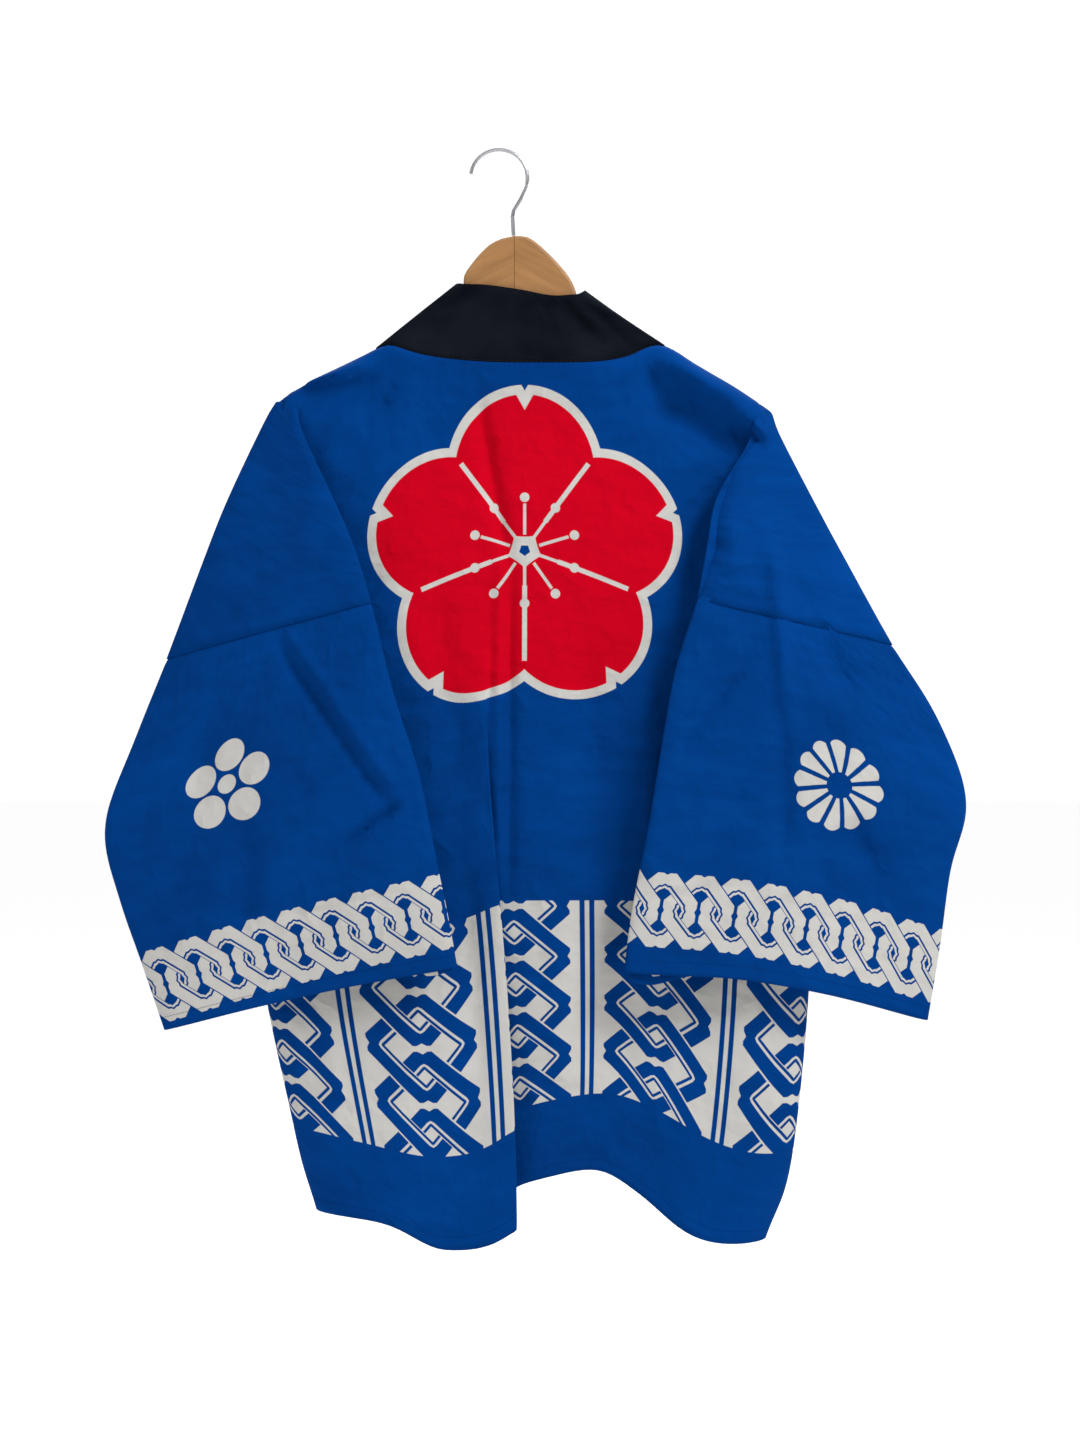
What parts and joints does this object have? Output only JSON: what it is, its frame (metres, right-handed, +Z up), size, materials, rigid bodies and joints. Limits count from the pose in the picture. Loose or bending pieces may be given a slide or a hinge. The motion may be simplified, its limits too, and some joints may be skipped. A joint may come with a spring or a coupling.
{
  "type": "happi coat on a hanger",
  "caption": "Open-fronted straight-cut cotton festival coat with wide sleeves and a black neckband, hung on a wooden hanger with a wire hook.",
  "frame": {"origin": "inside top of the hook's crook, where the rod bears", "axes": "+Z up, -Y the printed back of the coat, +Y its open front, +X to the right as seen from behind the coat"},
  "size_m": [0.7966, 0.1354, 1.0153],
  "materials": {
    "printed_cotton": "matt plain weave, screen printed",
    "black_cotton": "matt plain weave",
    "hanger_wood": "clear satin varnish",
    "plated_wire": "polished plating"
  },
  "bodies": {
    "root": {"back": "printed_cotton", "front_left": "printed_cotton", "front_right": "printed_cotton", "sleeve_left": "printed_cotton", "sleeve_right": "printed_cotton", "neckband": "black_cotton", "hanger_left": "hanger_wood", "hanger_right": "hanger_wood", "hook": "plated_wire"}
  },
  "joints": []
}
